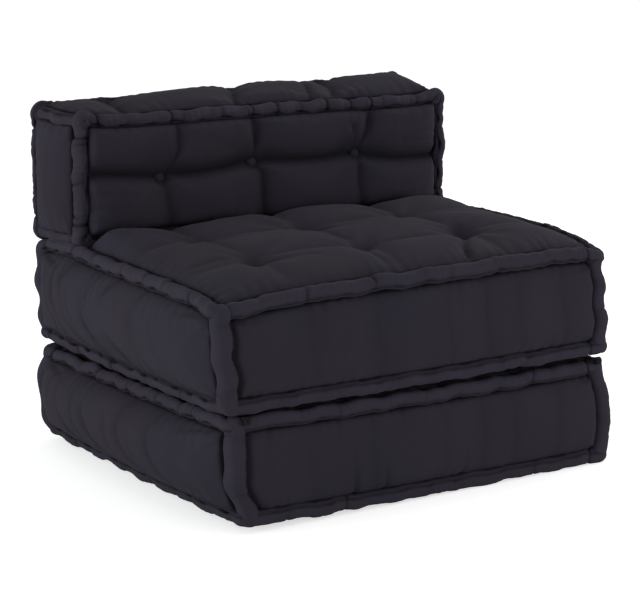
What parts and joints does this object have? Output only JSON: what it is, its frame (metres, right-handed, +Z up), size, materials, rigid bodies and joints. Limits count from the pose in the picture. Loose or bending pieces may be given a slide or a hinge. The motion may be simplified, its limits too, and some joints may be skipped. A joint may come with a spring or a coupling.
{
  "type": "modular sofa",
  "caption": "Frameless floor sofa: two tufted cotton mattress cushions in a stack with a back cushion; the base cushion folds out to the front and the back folds forward.",
  "frame": {"origin": "centre of the footprint, on the floor", "axes": "+Z up; the front of the sofa faces -Y; +X is to the right as seen from the front"},
  "size_m": [0.774, 0.6704, 0.6076],
  "materials": {
    "panel_cotton": "matt charcoal cotton, plain weave, slightly faded on the crowns",
    "border_cotton": "matt charcoal cotton, plain weave",
    "roll_cotton": "matt charcoal cotton, stitched and pinched along the roll",
    "cotton_wadding": "raw cotton wadding",
    "cotton_twine": "waxed dark cotton twine",
    "button_cotton": "matt charcoal cotton stretched over a button"
  },
  "bodies": {
    "seat": {"seat_filling": "cotton_wadding", "seat_top_panel": "panel_cotton", "seat_bottom_panel": "panel_cotton", "seat_front_border": "border_cotton", "seat_rear_border": "border_cotton", "seat_left_border": "border_cotton", "seat_right_border": "border_cotton", "seat_top_roll": "roll_cotton", "seat_bottom_roll": "roll_cotton", "seat_corner_rolls": "roll_cotton", "seat_tuft_ties": "cotton_twine", "front_lashing": "cotton_twine", "back_lashing": "cotton_twine"},
    "base": {"base_filling": "cotton_wadding", "base_top_panel": "panel_cotton", "base_bottom_panel": "panel_cotton", "base_front_border": "border_cotton", "base_rear_border": "border_cotton", "base_left_border": "border_cotton", "base_right_border": "border_cotton", "base_top_roll": "roll_cotton", "base_bottom_roll": "roll_cotton", "base_corner_rolls": "roll_cotton", "base_tuft_ties": "cotton_twine"},
    "back": {"back_filling": "cotton_wadding", "back_front_panel": "panel_cotton", "back_rear_panel": "panel_cotton", "back_top_border": "border_cotton", "back_bottom_border": "border_cotton", "back_left_border": "border_cotton", "back_right_border": "border_cotton", "back_front_roll": "roll_cotton", "back_rear_roll": "roll_cotton", "back_corner_rolls": "roll_cotton", "back_tuft_ties": "cotton_twine", "back_buttons": "button_cotton"}
  },
  "joints": [
    {"name": "mattress_fold", "type": "hinge", "parent": "seat", "child": "base", "pos_m": [0, -0.32875, 0.18015], "axis": [-1, 0, 0], "range_deg": [0, 180]},
    {"name": "back_fold", "type": "hinge", "parent": "seat", "child": "back", "pos_m": [0, 0.16125, 0.36045], "axis": [1, 0, 0], "range_deg": [0, 48]}
  ]
}
